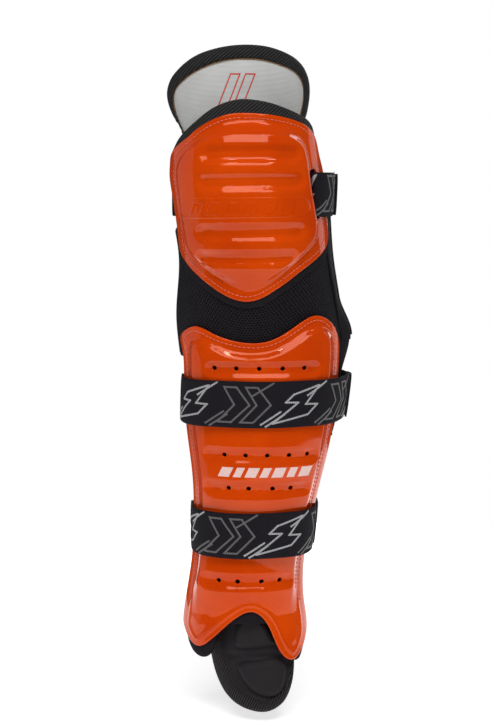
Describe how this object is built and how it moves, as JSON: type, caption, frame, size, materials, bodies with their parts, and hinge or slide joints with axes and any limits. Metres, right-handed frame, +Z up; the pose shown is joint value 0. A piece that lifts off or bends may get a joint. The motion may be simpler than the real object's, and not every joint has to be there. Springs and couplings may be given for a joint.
{
  "type": "hockey shin guard",
  "caption": "Ice hockey shin guard for the left leg: orange hard knee cap and shin plate on padded black fabric, elastic straps and an instep lobe.",
  "frame": {"origin": "on the leg's axis, level with the place where the knee section bends on the shin section", "axes": "+Z up the leg, -Y the front of the guard, +X the outer side of the left leg (the viewer's right when the guard faces the viewer)"},
  "size_m": [0.1639, 0.158, 0.5741],
  "materials": {
    "orange_shell": "thermoformed polyethylene, bright orange, glossy",
    "black_fabric": "black woven nylon over foam",
    "black_mesh": "black open-hole stretch mesh",
    "black_elastic": "black woven elastic strap",
    "hook_tape": "black hook tape",
    "loop_pile": "black brushed loop pile",
    "foam": "dark grey closed-cell foam",
    "brushed_lining": "dark brushed lining",
    "grey_knit": "light grey ribbed knit",
    "black_binding": "black ribbed binding tape",
    "moulded_pad": "dark grey moulded foam with a fabric face"
  },
  "bodies": {
    "shin": {"shin_plate_shell": "orange_shell", "shin_plate_backing": "black_fabric", "shin_foam_pad": "foam", "shin_liner": "brushed_lining", "ankle_pad_medial": "black_fabric", "ankle_pad_lateral": "black_fabric", "knee_knit_panel": "black_mesh", "knee_side_gusset": "black_binding", "upper_strap_front": "black_elastic", "upper_strap_loop_pile": "loop_pile", "lower_strap_front": "black_elastic", "lower_strap_loop_pile": "loop_pile", "instep_neck_pad": "black_binding", "instep_neck_block": "moulded_pad"},
    "knee": {"knee_cap_shell": "orange_shell", "knee_cap_backing": "black_fabric", "knee_foam_pad": "foam", "knee_liner": "brushed_lining", "knee_pad_rim": "black_binding", "knee_strap_loop": "black_elastic", "knee_strap_anchor": "black_elastic", "knee_strap_loop_pile": "loop_pile"},
    "thigh": {"thigh_flap_border": "black_binding", "thigh_flap_face": "grey_knit", "thigh_flap_foam": "foam", "thigh_flap_lining": "brushed_lining"},
    "knee_strap": {"knee_strap_rear": "black_elastic", "knee_strap_hook_tab": "hook_tape"},
    "upper_strap": {"upper_strap_rear": "black_elastic", "upper_strap_hook_tab": "hook_tape"},
    "lower_strap": {"lower_strap_rear": "black_elastic", "lower_strap_hook_tab": "hook_tape"},
    "instep": {"instep_lobe_pad": "black_binding", "instep_lobe_block": "moulded_pad"},
    "wing_medial": {"calf_wing_medial": "black_fabric"},
    "wing_lateral": {"calf_wing_lateral": "black_fabric"}
  },
  "joints": [
    {"name": "knee_flex", "type": "hinge", "parent": "shin", "child": "knee", "pos_m": [0.004, -0.035, 0], "axis": [-1, 0, 0], "range_deg": [-5, 30], "stiffness_Nm_per_rad": 1.2, "deforming": ["knee_knit_panel", "knee_side_gusset"]},
    {"name": "thigh_flex", "type": "hinge", "parent": "knee", "child": "thigh", "pos_m": [-0.012, -0.005, 0.15], "axis": [-1, 0, 0], "range_deg": [-5, 25], "stiffness_Nm_per_rad": 0.6},
    {"name": "instep_flex", "type": "hinge", "parent": "shin", "child": "instep", "pos_m": [0.003, -0.045, -0.2975], "axis": [-1, 0, 0], "range_deg": [-5, 32], "stiffness_Nm_per_rad": 0.15},
    {"name": "wing_medial_fold", "type": "hinge", "parent": "shin", "child": "wing_medial", "pos_m": [-0.05, 0.003, -0.057], "axis": [0, 0, -1], "range_deg": [0, 25], "stiffness_Nm_per_rad": 0.08},
    {"name": "wing_lateral_fold", "type": "hinge", "parent": "shin", "child": "wing_lateral", "pos_m": [0.07, 0.003, -0.057], "axis": [0, 0, 1], "range_deg": [0, 25], "stiffness_Nm_per_rad": 0.08},
    {"name": "knee_strap_open", "type": "hinge", "parent": "knee", "child": "knee_strap", "pos_m": [-0.0705, 0.0071, 0.106], "axis": [0, 0, 1], "range_deg": [0, 100]},
    {"name": "upper_strap_open", "type": "hinge", "parent": "shin", "child": "upper_strap", "pos_m": [-0.0625, -0.001, -0.072], "axis": [0, 0, 1], "range_deg": [0, 100]},
    {"name": "lower_strap_open", "type": "hinge", "parent": "shin", "child": "lower_strap", "pos_m": [-0.054, -0.001, -0.1865], "axis": [0, 0, 1], "range_deg": [0, 100]}
  ]
}
